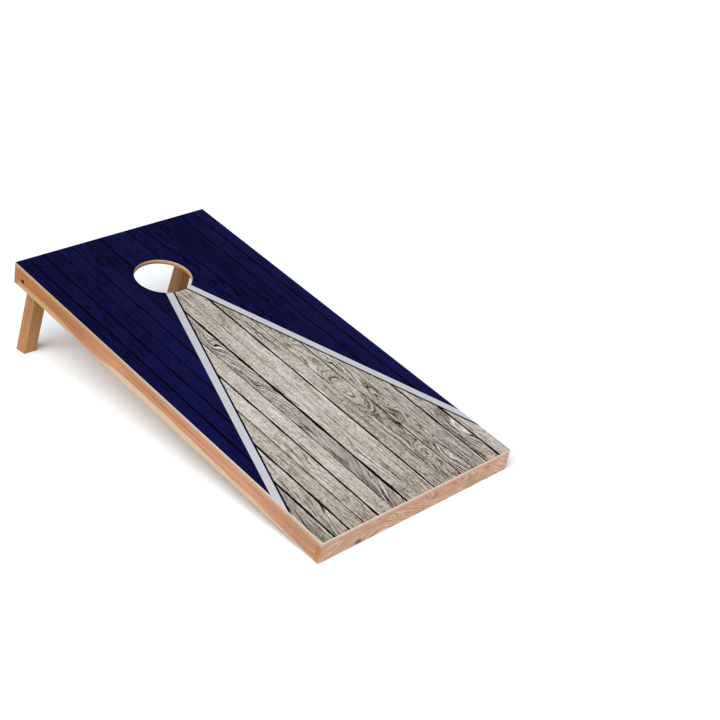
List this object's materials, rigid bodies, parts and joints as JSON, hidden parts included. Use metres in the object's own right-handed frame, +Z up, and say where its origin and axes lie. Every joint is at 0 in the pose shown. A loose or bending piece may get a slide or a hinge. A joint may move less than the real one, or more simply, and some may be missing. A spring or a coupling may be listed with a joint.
{
  "type": "cornhole board",
  "caption": "Sloping bean bag toss board with a round bag hole, a hollow wooden frame and folding rear legs, printed with a weathered plank triangle.",
  "frame": {"origin": "centre of the bounding box's base, on the ground, with the board standing on its front edge and legs", "axes": "+X across the board to the right, +Y from the low front edge to the high rear edge, +Z up"},
  "size_m": [0.6096, 1.2843, 0.2998],
  "materials": {
    "printed_plywood": "satin print on plywood: navy field, white stripes and grey weathered planks",
    "frame_wood": "clear satin varnish on red-brown softwood",
    "leg_wood": "clear satin varnish on red-brown softwood",
    "black_steel": "black oxide",
    "zinc_steel": "zinc plated"
  },
  "bodies": {
    "board": {"brace_left_screw_1": "zinc_steel", "brace_left_screw_2": "zinc_steel", "brace_right_screw_1": "zinc_steel", "brace_right_screw_2": "zinc_steel", "centre_brace": "frame_wood", "deck_brace_screw_1": "zinc_steel", "deck_brace_screw_2": "zinc_steel", "deck_front_screw_1": "zinc_steel", "deck_front_screw_2": "zinc_steel", "deck_left_screw_1": "zinc_steel", "deck_left_screw_2": "zinc_steel", "deck_left_screw_3": "zinc_steel", "deck_panel": "printed_plywood", "deck_rear_screw_1": "zinc_steel", "deck_rear_screw_2": "zinc_steel", "deck_right_screw_1": "zinc_steel", "deck_right_screw_2": "zinc_steel", "deck_right_screw_3": "zinc_steel", "front_left_corner_screw_1": "zinc_steel", "front_left_corner_screw_2": "zinc_steel", "front_rail": "frame_wood", "front_right_corner_screw_1": "zinc_steel", "front_right_corner_screw_2": "zinc_steel", "left_block_screw_1": "zinc_steel", "left_block_screw_2": "zinc_steel", "left_block_washer": "zinc_steel", "left_lock_nut": "zinc_steel", "left_nut_washer": "zinc_steel", "left_pivot_block": "frame_wood", "left_pivot_bolt": "black_steel", "left_rail": "frame_wood", "rear_left_corner_screw_1": "zinc_steel", "rear_left_corner_screw_2": "zinc_steel", "rear_rail": "frame_wood", "rear_right_corner_screw_1": "zinc_steel", "rear_right_corner_screw_2": "zinc_steel", "right_block_screw_1": "zinc_steel", "right_block_screw_2": "zinc_steel", "right_block_washer": "zinc_steel", "right_lock_nut": "zinc_steel", "right_nut_washer": "zinc_steel", "right_pivot_block": "frame_wood", "right_pivot_bolt": "black_steel", "right_rail": "frame_wood"},
    "left_leg": {"left_leg": "leg_wood"},
    "right_leg": {"right_leg": "leg_wood"}
  },
  "joints": [
    {"name": "left_leg_fold", "type": "hinge", "parent": "board", "child": "left_leg", "pos_m": [-0.2503, 0.5223, 0.2551], "axis": [-1, 0, 0], "range_deg": [0, 101]},
    {"name": "right_leg_fold", "type": "hinge", "parent": "board", "child": "right_leg", "pos_m": [0.2503, 0.5223, 0.2551], "axis": [-1, 0, 0], "range_deg": [0, 101]}
  ]
}
